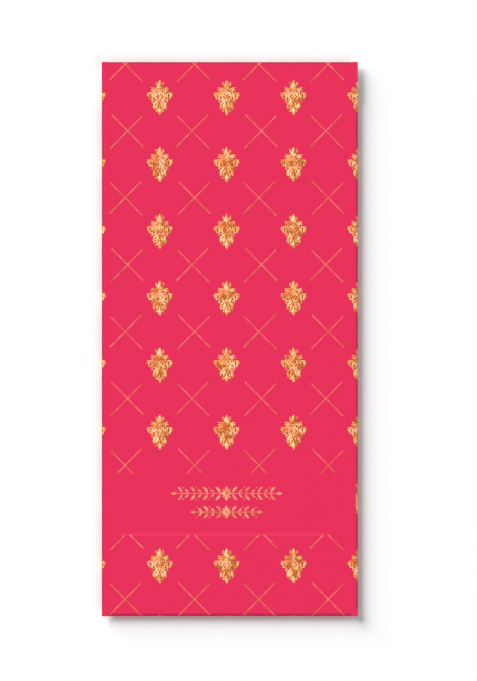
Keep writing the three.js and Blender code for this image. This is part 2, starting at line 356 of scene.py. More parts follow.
# A rule in the same ink with less of it: a line just lighter than the board's crimson.
PRINTED_RULE = replace(
    PRINTED_FACE, name="coated_board_offset_printed_rule", colour="#f43f68", mottle="#f03b64", painted_fold_shade=None
)
# Paste, brushed on and dried: a thin amber film that soaked into the pulp, with streaks of the brush.
DRIED_PASTE = Sheetstock(
    "starch_paste_brushed_and_dried",
    colour="#dccba4",
    mottle="#c9b284",
    mottle_size=1.2 * MM,
    tooth_size=0.6 * MM,
    tooth_height=0.02 * MM,
    roughness=(0.3, 0.55),
    gloss=0.5,
)
# Double-sided tape: clear acrylic adhesive on tissue, which shows as a milky film with a soft shine.
TAPE_FILM = Sheetstock(
    "tissue_tape_coated_with_acrylic_adhesive",
    colour="#ebe8dc",
    mottle="#dedac9",
    mottle_size=0.9 * MM,
    tooth_size=0.5 * MM,
    tooth_height=0.01 * MM,
    roughness=(0.25, 0.4),
    gloss=0.5,
)
# Release paper: glassine calendered and siliconed, smooth and yellow with a low satin shine.
RELEASE_PAPER = Sheetstock(
    "glassine_paper_siliconed_pale_yellow",
    colour="#f0e1b2",
    mottle="#e9d8a3",
    mottle_size=2 * MM,
    tooth_size=0.4 * MM,
    tooth_height=0.005 * MM,
    roughness=(0.38, 0.5),
    gloss=0.3,
)
BOARD_FACES = (PRINTED_FACE, BARE_FACE, CUT_EDGE)


def report(piece: Object) -> None:
    """Logs a finished piece with its number of faces."""
    log.info("%s: %d faces", piece.name, len(piece.data.polygons))


def new_piece(name: str, shape: BMesh, finishes: Sequence[Finish]) -> Object:
    """Makes a shown object of a shape, whose place is in its mesh.

    Args:
        name: of the piece.
        shape: its mesh, which is used up.
        finishes: one for each material number of its faces.

    Returns:
        The object.
    """
    mesh = bpy.data.meshes.new(name)
    shape.to_mesh(mesh)
    shape.free()
    piece = bpy.data.objects.new(name, mesh)
    bpy.context.scene.collection.objects.link(piece)
    for finish in finishes:
        mesh.materials.append(finish.material())
    return piece


def dress_node(node: str, finish: Finish) -> None:
    """Gives a solid of the frame its finish.

    Args:
        node: the solid's name.
        finish: what it is made of.
    """
    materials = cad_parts[node].data.materials
    materials.clear()
    materials.append(finish.material())


def bend_at_hinge(piece: Object) -> None:
    """Bakes the place of a piece on the top fold into its mesh; the piece follows no body.

    Args:
        piece: the piece on the top fold.
    """
    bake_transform(piece)


def thicken(piece: Object, thickness: float) -> None:
    """Gives a sheet its thickness, behind its printed face, with the second finish there and the third on
    the cut edges.

    Args:
        piece: the sheet, as its outer face alone.
        thickness: of the sheet.
    """
    walls = piece.modifiers.new("thickness", "SOLIDIFY")
    walls.thickness = thickness
    walls.offset = -1
    walls.use_even_offset = True
    walls.material_offset = 1
    walls.material_offset_rim = 2
    solid = bpy.data.meshes.new_from_object(piece.evaluated_get(bpy.context.evaluated_depsgraph_get()))
    rim = [face for face in solid.polygons if face.material_index == walls.material_offset_rim]
    corners = {key for face in rim for key in face.edge_keys}
    for face in rim:
        face.use_smooth = False
    for edge in solid.edges:
        edge.use_edge_sharp = edge.key in corners
    piece.modifiers.clear()
    piece.data = solid
    solid.name = piece.name


def rectangle(low: Vector, high: Vector, level: float, cell: float = math.inf) -> BMesh:
    """A flat rectangle that faces up.

    Args:
        low: its corner with the least x and y.
        high: the corner across.
        level: its height.
        cell: about how wide its faces are, if it isn't a single face.

    Returns:
        Its mesh.
    """
    shape = bmesh.new()
    columns, rows = (max(1, round(side / cell)) for side in (high.x - low.x, high.y - low.y))
    bmesh.ops.create_grid(shape, x_segments=columns, y_segments=rows, size=0.5)
    bmesh.ops.scale(shape, vec=(high.x - low.x, high.y - low.y, 1), verts=shape.verts[:])
    middle = (low + high) / 2
    bmesh.ops.translate(shape, vec=(middle.x, middle.y, level), verts=shape.verts[:])
    return shape


def cut(shape: BMesh, point: Vector, normal: Vector, keep_behind: bool = False) -> None:
    """Cuts a shape along a plane.

    Args:
        shape: what is cut.
        point: on the plane.
        normal: of the plane.
        keep_behind: whether the part that the normal points to is cleared away and a solid is closed again.
    """
    made = bmesh.ops.bisect_plane(
        shape,
        geom=shape.verts[:] + shape.edges[:] + shape.faces[:],
        dist=TOUCH / 10,
        plane_co=point,
        plane_no=normal,
        clear_outer=keep_behind,
    )
    rims = [part for part in made["geom_cut"] if isinstance(part, BMEdge) and part.is_boundary]
    if keep_behind and rims:
        bmesh.ops.holes_fill(shape, edges=rims, sides=0)


def only(kind: type, parts: Iterable) -> list:
    """Those of the parts of a mesh that are of one kind."""
    return [part for part in parts if isinstance(part, kind)]


def ends_of(edges: Iterable[BMEdge]) -> list[BMVert]:
    """The points of some edges, each once."""
    return list(dict.fromkeys(vert for edge in edges for vert in edge.verts))


def pull_out(shape: BMesh, edges: Sequence[BMEdge], step: Vector, steps: int = 1) -> list[BMEdge]:
    """Grows a sheet from some of its edges.

    Args:
        shape: the sheet.
        edges: where it grows.
        step: how far each row of faces reaches.
        steps: how many rows are added.

    Returns:
        The new outermost edges.
    """
    for _ in range(steps):
        grown = bmesh.ops.extrude_edge_only(shape, edges=edges)["geom"]
        verts = only(BMVert, grown)
        bmesh.ops.translate(shape, vec=step, verts=verts)
        fresh = set(verts)
        edges = [edge for edge in only(BMEdge, grown) if fresh.issuperset(edge.verts)]
    return edges


def narrow(shape: BMesh, edges: Sequence[BMEdge], taper: float) -> list[BMVert]:
    """Draws in both ends of a free edge.

    Args:
        shape: the sheet.
        edges: the free edge.
        taper: how far each end moves towards the middle.

    Returns:
        The two end points.
    """
    verts = ends_of(edges)
    middle = sum((vert.co for vert in verts), Vector()) / len(verts)
    ends = sorted(verts, key=lambda vert: (vert.co - middle).length)[-2:]
    share = 1 - taper / (ends[0].co - middle).length
    bmesh.ops.scale(shape, vec=(share,) * 3, space=Matrix.Translation(-middle), verts=verts)
    return ends


def round_corners(shape: BMesh, corners: Sequence[BMVert], radius: float, steps: int) -> None:
    """Rounds corners of a flat sheet.

    Args:
        shape: the sheet.
        corners: the points that are rounded.
        radius: how far from each corner its round begins.
        steps: straight pieces in each round.
    """
    bmesh.ops.bevel(
        shape,
        geom=list(corners),
        offset=radius,
        offset_type="OFFSET",
        segments=steps,
        profile=0.5,
        affect="VERTICES",
        material=-1,
    )


class Side(Enum):
    """An edge of the front panel, by the way that it faces."""

    LEFT = (-1, 0, 0)
    RIGHT = (1, 0, 0)
    FOOT = (0, -1, 0)
    HEAD = (0, 1, 0)

    @property
    def out(self) -> Vector:
        """The way out over this edge."""
        return Vector(self.value)

    @property
    def along(self) -> Vector:
        """The way along this edge, towards +X or +Y."""
        return Vector((abs(self.value[1]), abs(self.value[0]), 0))


@dataclass(frozen=True)
class Fold:
    """A half-round fold of the sheet, from the front down to the layer that it turns into.

    Attributes:
        side: the edge of the front that it makes.
        flat_end: from the middle of the envelope to where the bend begins.
        radius: of the printed face round the bend.
        axis_level: height of the bend's axis.
        start: where the fold begins along its edge.
        stop: where it ends.
        rubbed: how strong the painted shade along it is, up to 1.
    """

    side: Side
    flat_end: float
    radius: float
    axis_level: float
    start: float
    stop: float
    rubbed: float

    @classmethod
    def of_node(cls, node: str, side: Side, rubbed: float) -> "Fold":
        """The fold that a node of the frame holds.

        Args:
            node: the node's name.
            side: where it lies.
            rubbed: how strong the painted shade along it is.

        Returns:
            The fold, with the node's sizes.
        """
        low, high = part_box(node)
        near, far = sorted(abs(corner.dot(side.out)) for corner in (low, high))
        return cls(
            side=side,
            flat_end=near,
            radius=far - near,
            axis_level=(low.z + high.z) / 2,
            start=low.dot(side.along),
            stop=high.dot(side.along),
            rubbed=rubbed,
        )

    @property
    def arc(self) -> float:
        """Length of sheet round the bend."""
        return math.pi * self.radius

    @property
    def turned(self) -> float:
        """How far out on the blank the bend ends."""
        return self.flat_end + self.arc

    def bent(self, place: Vector) -> Vector:
        """Where a place on the blank lies once the sheet is folded here.

        Args:
            place: (u, v, h), past the end of the flat.

        Returns:
            The point in the frame.
        """
        past = place.dot(self.side.out) - self.flat_end
        radius = self.radius + place.z
        turn = past / self.radius
        reach, rise = radius * math.sin(turn), radius * math.cos(turn)
        if past > self.arc:
            reach, rise = self.arc - past, -radius
        crease = Vector((place.x, place.y, self.axis_level)) - self.side.out * past
        return crease + self.side.out * reach + UP * rise

    def edges(self, shape: BMesh) -> list[BMEdge]:
        """Finds where this bend begins.

        Args:
            shape: the flat front.

        Returns:
            Its edges there.
        """
        def here(vert: BMVert) -> bool:
            """Whether a point lies on the line where the bend begins."""
            across, along = vert.co.dot(self.side.out), vert.co.dot(self.side.along)
            return abs(across - self.flat_end) < TOUCH and self.start - TOUCH < along < self.stop + TOUCH

        return [edge for edge in shape.edges if all(here(vert) for vert in edge.verts)]

    def roll(self, shape: BMesh, steps: int) -> list[BMEdge]:
        """Bends the sheet half round here.

        Args:
            shape: the sheet, up to where the bend begins.
            steps: rows of faces round the bend.

        Returns:
            The edges at its end.
        """
        edges = self.edges(shape)
        before = set(shape.faces)
        crease = shape.verts.layers.float.get(PAINTED_FOLD_SHADE) or shape.verts.layers.float.new(PAINTED_FOLD_SHADE)
        last = bmesh.ops.spin(
            shape,
            geom=ends_of(edges) + edges,
            cent=self.side.out * self.flat_end + UP * self.axis_level,
            axis=UP.cross(self.side.out),
            angle=math.pi,
            steps=steps,
        )["geom_last"]
        # Each new point gets painted shade, deeper further out round the fold and scaled by the fold's
        # strength.
        for face in set(shape.faces) - before:
            face.smooth = True
            for vert in face.verts:
                vert[crease] = self.rubbed * (vert.co.dot(self.side.out) - self.flat_end) / self.radius
        return only(BMEdge, last)


@dataclass(frozen=True)
class Blank:
    """The sizes of the sheet that the whole envelope is folded from.

    Attributes:
        half_width: half the width of the envelope.
        half_length: half its length.
        level: height of the printed face of the front.
        board: thickness of the sheet.
        folds: the four folds.
        bend_steps: rows of faces round each bend.
        cell: width of a face elsewhere.
    """

    half_width: float
    half_length: float
    level: float
    board: float
    folds: dict[Side, Fold]
    bend_steps: int = 12
    cell: float = 4 * MM

    @classmethod
    def of_frame(cls) -> "Blank":
        """Measures the sheet on the frame's panels and folds.

        Returns:
            The blank that they make up.
        """
        low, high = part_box("front_panel")
        # The painted shade along the folds is strongest on the left and top folds, which face the key light,
        # and faint on the right and bottom.
        folds = (
            Fold.of_node("left_fold", Side.LEFT, rubbed=1.0),
            Fold.of_node("right_fold", Side.RIGHT, rubbed=0.25),
            Fold.of_node("bottom_fold", Side.FOOT, rubbed=0.1),
            Fold.of_node("top_fold", Side.HEAD, rubbed=1.0),
        )
        return cls(
            half_width=high.x,
            half_length=high.y,
            level=high.z,
            board=high.z - low.z,
            folds={fold.side: fold for fold in folds},
        )

    def placed(self, place: Vector, side: Side | None) -> Vector:
        """Where a place on the blank lies on the folded envelope.

        Args:
            place: (u, v, h).
            side: the fold that it lies past, or None on the front.

        Returns:
            The point in the frame.
        """
        if side is None:
            return Vector((place.x, place.y, self.level + place.z))
        return self.folds[side].bent(place)


@dataclass
class Pocket:
    """The glued pocket: one piece of board that runs round from the front to the back and its flaps.

    Attributes:
        blank: the sheet.
        throat_dip: depth of the thumb curve in the mouth of the pocket.
        throat_shoulder: straight stretch of the mouth at each side.
        throat_ease: how far down the back its faces are drawn out to follow the curve.
        throat_steps: rows of faces across the back, for the curve.
        seam_taper: how much shorter the seam flap is along its free edge, at each end.
        foot_taper: how much narrower the bottom flap is at its free edge, at each side.
        foot_radius: of the bottom flap's corners.
        corner_steps: straight pieces in each rounded corner.
    """

    blank: Blank
    throat_dip: float = 4 * MM
    throat_shoulder: float = 14 * MM
    throat_ease: float = 24 * MM
    throat_steps: int = 48
    seam_taper: float = 3 * MM
    foot_taper: float = 4 * MM
    foot_radius: float = 4 * MM
    corner_steps: int = 6

    def dip(self, x: float) -> float:
        """How far the mouth's edge is curved down at x."""
        reach = self.blank.half_width - self.throat_shoulder
        return self.throat_dip * (1 + math.cos(math.pi * x / reach)) / 2 if abs(x) < reach else 0.0

    def front(self) -> BMesh:
        """Makes the flat front, full size at its corners and set back where a fold begins.

        Returns:
            Its printed face.
        """
        blank, folds = self.blank, self.blank.folds
        low = Vector((-folds[Side.LEFT].flat_end, -folds[Side.FOOT].flat_end))
        high = Vector((folds[Side.RIGHT].flat_end, folds[Side.HEAD].flat_end))
        shape = rectangle(low, high, blank.level, blank.cell)
        for fold in folds.values():
            for end in (fold.start, fold.stop):
                cut(shape, fold.side.along * end, fold.side.along)
        for fold in folds.values():
            creases = set(fold.edges(shape))
            edge = replace(fold, start=-math.inf, stop=math.inf)
            ears = [free for free in edge.edges(shape) if free not in creases]
            pull_out(shape, ears, fold.side.out * fold.radius)
        return shape

    def back(self, shape: BMesh) -> None:
        """Adds the left fold and the back panel, with the curved mouth.

        Args:
            shape: the printed face of the sheet so far.
        """
        fold = self.blank.folds[Side.LEFT]
        last = fold.roll(shape, self.blank.bend_steps)
        low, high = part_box("back_panel")
        step = Vector(((high.x - low.x) / self.throat_steps, 0, 0))
        before = set(shape.verts)
        pull_out(shape, last, step, self.throat_steps)
        for vert in set(shape.verts) - before:
            share = 1 - (fold.stop - vert.co.y) / self.throat_ease
            if share > 0:
                vert.co.y -= self.dip(vert.co.x) * share

    def seam_flap(self, shape: BMesh) -> None:
        """Adds the right fold and the narrow flap that the back is glued to.

        Args:
            shape: the printed face of the sheet so far.
        """
        fold = self.blank.folds[Side.RIGHT]
        last = fold.roll(shape, self.blank.bend_steps)
        low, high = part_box("side_seam_flap")
        free = pull_out(shape, last, Vector((low.x - high.x, 0, 0)))
        narrow(shape, free, self.seam_taper)

    def bottom_flap(self, shape: BMesh) -> None:
        """Adds the bottom fold and the flap that is glued up over the back.

        Args:
            shape: the printed face of the sheet so far.
        """
        fold = self.blank.folds[Side.FOOT]
        last = fold.roll(shape, self.blank.bend_steps)
        low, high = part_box("bottom_flap")
        free = pull_out(shape, last, Vector((0, high.y - low.y, 0)))
        corners = narrow(shape, free, self.foot_taper)
        round_corners(shape, corners, self.foot_radius, self.corner_steps)

    def build(self) -> None:
        """Makes the pocket's sheet, and dresses the paste in its two glued seams."""
        shape = self.front()
        self.back(shape)
        self.seam_flap(shape)
        self.bottom_flap(shape)
        piece = new_piece("pocket_sheet", shape, BOARD_FACES)
        thicken(piece, self.blank.board)
        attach(piece, "pocket")
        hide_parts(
            "front_panel",
            "left_fold",
            "back_panel",
            "right_fold",
            "side_seam_flap",
            "bottom_fold",
            "bottom_flap",
        )
        report(piece)
        for node in ("side_seam_glue", "bottom_flap_glue"):
            dress_node(node, DRIED_PASTE)


@dataclass
class ClosingFlap:
    """The flap that shuts the envelope, the bend that it hinges on, and its seal.

    Attributes:
        blank: the sheet.
        taper: how much narrower the flap is at its free edge, at each side.
        radius: of its corners.
        corner_steps: straight pieces in each rounded corner.
        tab_radius: of the corners of the liner's tab.
    """

    blank: Blank
    taper: float = 5 * MM
    radius: float = 9 * MM
    corner_steps: int = 10
    tab_radius: float = 3 * MM

    def bend(self) -> None:
        """Makes the bend along the top edge."""
        fold = self.blank.folds[Side.HEAD]
        shape = bmesh.new()
        ends = [shape.verts.new((x, fold.flat_end, self.blank.level)) for x in (fold.start, fold.stop)]
        crease = shape.edges.new(ends)
        bmesh.ops.subdivide_edges(shape, edges=[crease], cuts=round(crease.calc_length() / self.blank.cell))
        fold.roll(shape, self.blank.bend_steps)
        bmesh.ops.recalc_face_normals(shape, faces=shape.faces[:])
        piece = new_piece("top_fold_strip", shape, BOARD_FACES)
        thicken(piece, self.blank.board)
        bend_at_hinge(piece)
        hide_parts("top_fold")
        report(piece)

    def flap(self) -> None:
        """Makes the flap, with its printed face down."""
        low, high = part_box("closing_flap")
        low += Vector((HINGE_GAP, 0, 0))
        high -= Vector((HINGE_GAP, HINGE_GAP, 0))
        shape = rectangle(low, high, low.z)
        bmesh.ops.reverse_faces(shape, faces=shape.faces[:])
        free = [edge for edge in shape.edges if all(vert.co.y < low.y + TOUCH for vert in edge.verts)]
        corners = narrow(shape, free, self.taper)
        round_corners(shape, corners, self.radius, self.corner_steps)
        piece = new_piece("closing_flap_board", shape, BOARD_FACES)
        thicken(piece, self.blank.board)
        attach(piece, "flap")
        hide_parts("closing_flap")
        report(piece)

    def liner(self) -> None:
        """Makes the release liner, whose tab has rounded corners."""
        low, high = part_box("release_liner")
        shape = rectangle(low, high, high.z)
        tab = [vert for vert in shape.verts if vert.co.x > high.x - TOUCH]
        round_corners(shape, tab, self.tab_radius, self.corner_steps)
        piece = new_piece("release_liner_strip", shape, (RELEASE_PAPER,))
        thicken(piece, high.z - low.z)
        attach(piece, "liner")
        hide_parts("release_liner")
        report(piece)

    def build(self) -> None:
        """Makes the bend, the flap and its seal."""
        self.bend()
        self.flap()
        dress_node("seal_tape", TAPE_FILM)
        self.liner()


@dataclass(frozen=True)
class Leaf:
    """One leaf of an ornament, in millimetres in the ornament's own frame.

    Attributes:
        base: where it springs from.
        tip: its point.
        width: across its widest place.
        bend: how far it bows to the left of its way.
        belly: where it is widest, as a share of its length.
    """

    base: tuple[float, float]
    tip: tuple[float, float]
    width: float
    bend: float = 0.0
    belly: float = 0.5

    @property
    def mirrored(self) -> "Leaf":
        """The same leaf on the other side of the ornament's middle."""
        (bx, by), (tx, ty) = self.base, self.tip
        return replace(self, base=(-bx, by), tip=(-tx, ty), bend=-self.bend)

    @property
    def flipped(self) -> "Leaf":
        """The same leaf on the other side of a level line through the ornament's middle."""
        (bx, by), (tx, ty) = self.base, self.tip
        return replace(self, base=(bx, -by), tip=(tx, -ty), bend=-self.bend)

    def half_width(self, share: float) -> float:
        """Half its width at a share of its length, from 0 to 1."""
        to_middle = math.log(0.5) / math.log(self.belly)
        return self.width / 2 * math.sin(math.pi * share**to_middle) ** BLUNTNESS

    def middle(self, share: float) -> Vector:
        """Follows its midrib.

        Args:
            share: how far along it, from 0 to 1.

        Returns:
            The point of the midrib there.
        """
        base, tip = Vector(self.base), Vector(self.tip)
        left = (tip - base).orthogonal().normalized()
        return base.lerp(tip, share) + left * self.bend * 4 * share * (1 - share)

    def left(self, share: float) -> Vector:
        """The way across it at a share of its length, from its midrib to its left edge."""
        behind, ahead = (self.middle(min(max(share + step, 0), 1)) for step in (-NEARBY, NEARBY))
        return (ahead - behind).orthogonal().normalized()


@dataclass(frozen=True)
class Relief:
    """How foil stands on the board.

    Attributes:
        edge: height of its edges.
        ridge: height of a leaf's midrib.
        ground: height of the flat ground under the leaves.
        sunk: how far its underside is pressed into the board.
        leaf_steps: rows of faces along a leaf.
        crisp: whether its edges are sharp to the eye, as they are where it is pressed flat.
    """

    edge: float = 0.012 * MM
    ridge: float = 0.026 * MM
    ground: float = 0.006 * MM
    sunk: float = 0.006 * MM
    leaf_steps: int = 6
    crisp: bool = False

    def add_blade(self, shape: BMesh, steps: int, place: Callable[[float, float], Vector]) -> None:
        """Adds one thin solid to an ornament, with a flat underside.

        Args:
            shape: the ornament.
            steps: rows of faces along the blade.
            place: the point of its upper face at a share of its length and, from -1 to 1, of its width.
        """
        blade = bmesh.new()
        bmesh.ops.create_grid(blade, x_segments=steps, y_segments=2, size=0.5)
        for vert in blade.verts:
            vert.co = place(vert.co.x + 0.5, 2 * vert.co.y)
        bmesh.ops.remove_doubles(blade, verts=blade.verts[:], dist=TOUCH)
        bmesh.ops.recalc_face_normals(blade, faces=blade.faces[:])
        if sum(face.normal.z for face in blade.faces) < 0:
            bmesh.ops.reverse_faces(blade, faces=blade.faces[:])
        top = set(blade.verts)
        bmesh.ops.solidify(blade, geom=blade.faces[:], thickness=self.sunk)
        for vert in blade.verts:
            if vert not in top:
                vert.co.z = -self.sunk
        bmesh.ops.recalc_face_normals(blade, faces=blade.faces[:])
        for edge in blade.edges:
            walled = not all(top.issuperset(face.verts) for face in edge.link_faces)
            edge.smooth = not (self.crisp and walled and top.issuperset(edge.verts))
        add_to(shape, blade)

    def press(self, shape: BMesh, leaf: Leaf) -> None:
        """Adds one domed leaf to an ornament.

        Args:
            shape: the ornament.
            leaf: what is added.
        """
        def place(share: float, side: float) -> Vector:
            """Follows the leaf's domed face.

            Args:
                share: how far along the leaf, from 0 to 1.
                side: how far to its left, from -1 to 1.

            Returns:
                The point there.
            """
            half_width = leaf.half_width(share)
            point = (leaf.middle(share) + leaf.left(share) * side * half_width) * MM
            fullness = 2 * half_width / leaf.width
            return Vector((*point, self.edge + (self.ridge - self.edge) * (1 - side**2) * fullness))

        self.add_blade(shape, self.leaf_steps, place)

    def lay(self, shape: BMesh, stations: Sequence[tuple[float, float]]) -> None:
        """Adds the flat ground that an ornament's leaves stand on, the same on both sides of its middle.

        Args:
            shape: the ornament.
            stations: a height up the ornament and the ground's half width there, in millimetres.
        """
        steps = len(stations) - 1

        def place(share: float, side: float) -> Vector:
            """The point of its flat face at a share of its length and, from -1 to 1, of its width."""
            y, half_width = stations[round(share * steps)]
            return Vector((side * half_width * MM, y * MM, self.ground))

        self.add_blade(shape, steps, place)

    def stroke(self, shape: BMesh, start: Vector, end: Vector, breadth: float) -> None:
        """Adds a straight stroke to an ornament.

        Args:
            shape: the ornament.
            start: where the stroke begins, in millimetres.
            end: where it ends.
            breadth: of the stroke.
        """
        left = (end - start).orthogonal().normalized()

        def place(share: float, side: float) -> Vector:
            """The point of its rounded face at a share of its length and, from -1 to 1, of its width."""
            point = (start.lerp(end, share) + left * side * breadth / 2) * MM
            return Vector((*point, self.edge * (2 - side**2)))

        self.add_blade(shape, self.leaf_steps, place)


def add_to(shape: BMesh, part: BMesh) -> None:
    """Adds one mesh to another and frees it.

    Args:
        shape: what grows.
        part: what is added and used up.
    """
    carrier = bpy.data.meshes.new("carrier")
    part.to_mesh(carrier)
    part.free()
    shape.from_mesh(carrier)
    bpy.data.meshes.remove(carrier)


@dataclass(frozen=True)
class Medallion:
    """A damask palmette of leaves on a ground. The paired leaves are those of its right half.

    Attributes:
        half_size: half the width and height of the lozenge that it fills.
        rim: share of the way out to the lozenge where its rim begins.
        ground: a height up the ornament and the ground's half width there, in millimetres.
        centre: the leaves on its middle.
        paired: the leaves of its right half.
    """

    half_size: tuple[float, float] = (4.4, 6.2)
    rim: float = 0.75
    ground: tuple[tuple[float, float], ...] = (
        (-5.2, 0.3), (-4.5, 1.2), (-3.9, 1.7), (-3.0, 2.1), (-1.9, 2.0),
        (-1.2, 2.6), (-0.5, 3.2), (0.3, 3.7), (1.1, 3.8), (1.7, 3.2),
        (2.1, 2.2), (2.9, 2.5), (3.3, 2.0), (3.5, 0.8), (4.6, 0.4),
    )
    centre: tuple[Leaf, ...] = (
        Leaf((0, 2.6), (0, 5.95), 2.1, belly=0.25),
        Leaf((0, 1.65), (0, 2.85), 0.7),
        Leaf((0, -0.1), (0, 1.8), 0.65),
        Leaf((0, -0.2), (0, -1.6), 0.7),
        Leaf((0, -2.4), (0, -3.9), 0.4),
        Leaf((0, -3.1), (0, -5.9), 1.35, belly=0.5),
    )
    paired: tuple[Leaf, ...] = (
        Leaf((1.1, 3.7), (1.1, 5.35), 0.5, bend=-0.12),
        Leaf((0.6, 2.8), (3.0, 3.35), 0.65, bend=-0.1, belly=0.65),
        Leaf((1.0, 2.3), (3.05, 2.55), 0.75, belly=0.6),
        Leaf((0.2, 2.65), (1.4, 2.5), 0.35),
        Leaf((1.85, 1.15), (1.8, 2.4), 0.42),
        Leaf((0.3, 0.8), (0.45, 2.3), 0.55, bend=-0.15),
        Leaf((0.8, 0.45), (1.15, 2.0), 0.55, bend=-0.12),
        Leaf((1.6, -0.6), (1.35, 1.4), 0.6, bend=0.02),
        Leaf((0.1, -0.6), (0.8, 0.85), 0.55, bend=0.03),
        Leaf((0.4, -1.1), (1.8, 0.35), 0.6),
        Leaf((0.8, -0.8), (2.3, -0.8), 0.5),
        Leaf((3.35, -0.3), (4.0, 1.8), 1.0),
        Leaf((3.0, 0.9), (4.4, 0.7), 0.9),
        Leaf((3.9, 1.15), (2.3, 1.4), 0.55, bend=-0.2),
        Leaf((3.2, 0.2), (3.5, -0.65), 0.55),
        Leaf((2.5, -1.3), (2.4, 1.55), 0.6, bend=-0.05),
        Leaf((1.95, -0.1), (2.0, 1.3), 0.45),
        Leaf((2.0, -1.0), (2.9, -1.5), 0.35),
        Leaf((2.5, -0.3), (3.1, -0.6), 0.5),
        Leaf((0.35, -0.75), (1.7, -2.1), 0.8, bend=0.05),
        Leaf((0.9, -1.5), (2.4, -2.1), 0.75),
        Leaf((0.35, -1.4), (1.15, -4.15), 0.9, bend=0.05),
        Leaf((1.35, -1.8), (1.75, -4.1), 1.15, bend=0.25),
        Leaf((0.4, -4.05), (1.55, -4.6), 0.5),
    )

    def shape(self, relief: Relief) -> BMesh:
        """Makes the medallion flat, with its middle at the origin.

        Args:
            relief: how foil stands on the board.

        Returns:
            Its mesh, whose layers say how low each point lies and how near to the outline.
        """
        shape = bmesh.new()
        for leaf in (*self.centre, *self.paired, *(leaf.mirrored for leaf in self.paired)):
            relief.press(shape, leaf)
        relief.lay(shape, self.ground)
        depth, rim = (shape.verts.layers.float.new(name) for name in (DEPTH, RIM))
        half_width, half_height = (size * MM for size in self.half_size)
        for vert in shape.verts:
            out = abs(vert.co.x) / half_width + abs(vert.co.y) / half_height
            vert[depth] = (relief.ridge - vert.co.z) / (relief.ridge - relief.ground)
            vert[rim] = max(out - self.rim, 0) / (1 - self.rim)
        return shape


@dataclass(frozen=True)
class Cross:
    """Two foil strokes that cross, in millimetres, one thicker than the other.

    Attributes:
        reach: half width and half height of each stroke.
        thick: breadth of the stroke that falls to the right.
        thin: breadth of the stroke that rises to the right.
        thick_middle: where the middle of the thick stroke lies.
        thin_middle: where the middle of the thin one lies.
    """

    reach: tuple[float, float] = (5.3, 5.4)
    thick: float = 0.28
    thin: float = 0.24
    thick_middle: tuple[float, float] = (0.3, 0.2)
    thin_middle: tuple[float, float] = (0.0, -0.35)

    def shape(self, relief: Relief, hand: int) -> BMesh:
        """Makes the cross flat, with its middle at the origin.

        Args:
            relief: how foil stands on the board.
            hand: 1, or -1 for its mirror image.

        Returns:
            Its mesh.
        """
        shape = bmesh.new()
        across, rise = self.reach
        for (x, y), fall, breadth in ((self.thick_middle, -1, self.thick), (self.thin_middle, 1, self.thin)):
            middle = Vector((x * hand, y))
            half = Vector((across * hand, rise * fall))
            relief.stroke(shape, middle - half, middle + half, breadth)
        return shape


@dataclass(frozen=True)
class Garland:
    """A row of leaf sprigs along a stem, the same on both sides of a rosette, in millimetres.

    Attributes:
        middle: of the row on the blank.
        sprigs: how many stand on each side.
        pitch: from one to the next.
        height: of the row.
        rosette: height of the rosette.
        leaf_width: of the widest leaves.
        leaf_foot: how far over the middle of the stem its leaves spring.
        stem: breadth of the stem.
        stem_start: share of the rosette's half height at which the stem begins.
        sprig_start: share of it at which the first sprig springs.
    """

    middle: tuple[float, float]
    sprigs: int
    pitch: float
    height: float
    rosette: float
    leaf_width: float = 0.8
    leaf_foot: float = 0.1
    stem: float = 0.22
    stem_start: float = 0.7
    sprig_start: float = 0.9

    def sprig(self, at: float, tall: bool) -> Iterator[Leaf]:
        """Draws the leaves above the stem of one sprig on the right, which leans outwards.

        Args:
            at: where it springs from the stem.
            tall: whether it is one of the tall sprigs, or a short one under a dot.

        Returns:
            Its leaves, one by one.
        """
        reach = self.height / 2
        if tall:
            tip = (at + 0.75 * self.pitch, reach)
            yield Leaf((at, self.leaf_foot), tip, self.leaf_width, bend=0.25)
        else:
            tip = (at + 0.6 * self.pitch, 0.6 * reach)
            dot = at + 0.8 * self.pitch
            yield Leaf((at, self.leaf_foot), tip, 0.8 * self.leaf_width, bend=0.15)
            yield Leaf((dot, 0.75 * reach), (dot, reach), 0.4 * self.leaf_width)

    def leaves(self) -> Iterator[Leaf]:
        """Draws the rosette's leaves and those of the right half above the stem.

        Returns:
            The leaves, one by one.
        """
        reach = self.rosette / 2
        yield Leaf((0, 0.15), (0, reach), 1.5 * self.leaf_width, belly=0.6)
        yield Leaf((0.15, 0.0), (0.8 * reach, 0.0), 1.3 * self.leaf_width, belly=0.6)
        yield Leaf((0.2, 0.2), (0.6 * reach, 0.6 * reach), 0.6 * self.leaf_width)
        start = self.sprig_start * reach
        for number in range(self.sprigs):
            yield from self.sprig(start + number * self.pitch, tall=number % 2 == 0)
        end = start + self.sprigs * self.pitch
        yield Leaf((end - 0.1, 0.0), (end + 0.8 * self.pitch, 0.0), 1.2 * self.leaf_width, belly=0.35)

    def shape(self, relief: Relief) -> BMesh:
        """Makes the garland flat, in its place on the blank.

        Args:
            relief: how foil stands on the board.

        Returns:
            Its mesh.
        """
        shape = bmesh.new()
        for leaf in self.leaves():
            for turned in dict.fromkeys((leaf, leaf.mirrored, leaf.flipped, leaf.mirrored.flipped)):
                relief.press(shape, turned)
        start = Vector((self.stem_start * self.rosette / 2, 0))
        end = Vector((self.sprig_start * self.rosette / 2 + self.sprigs * self.pitch, 0))
        relief.stroke(shape, start, end, self.stem)
        relief.stroke(shape, -end, -start, self.stem)
        bmesh.ops.translate(shape, vec=Vector((*self.middle, 0)) * MM, verts=shape.verts[:])
        return shape


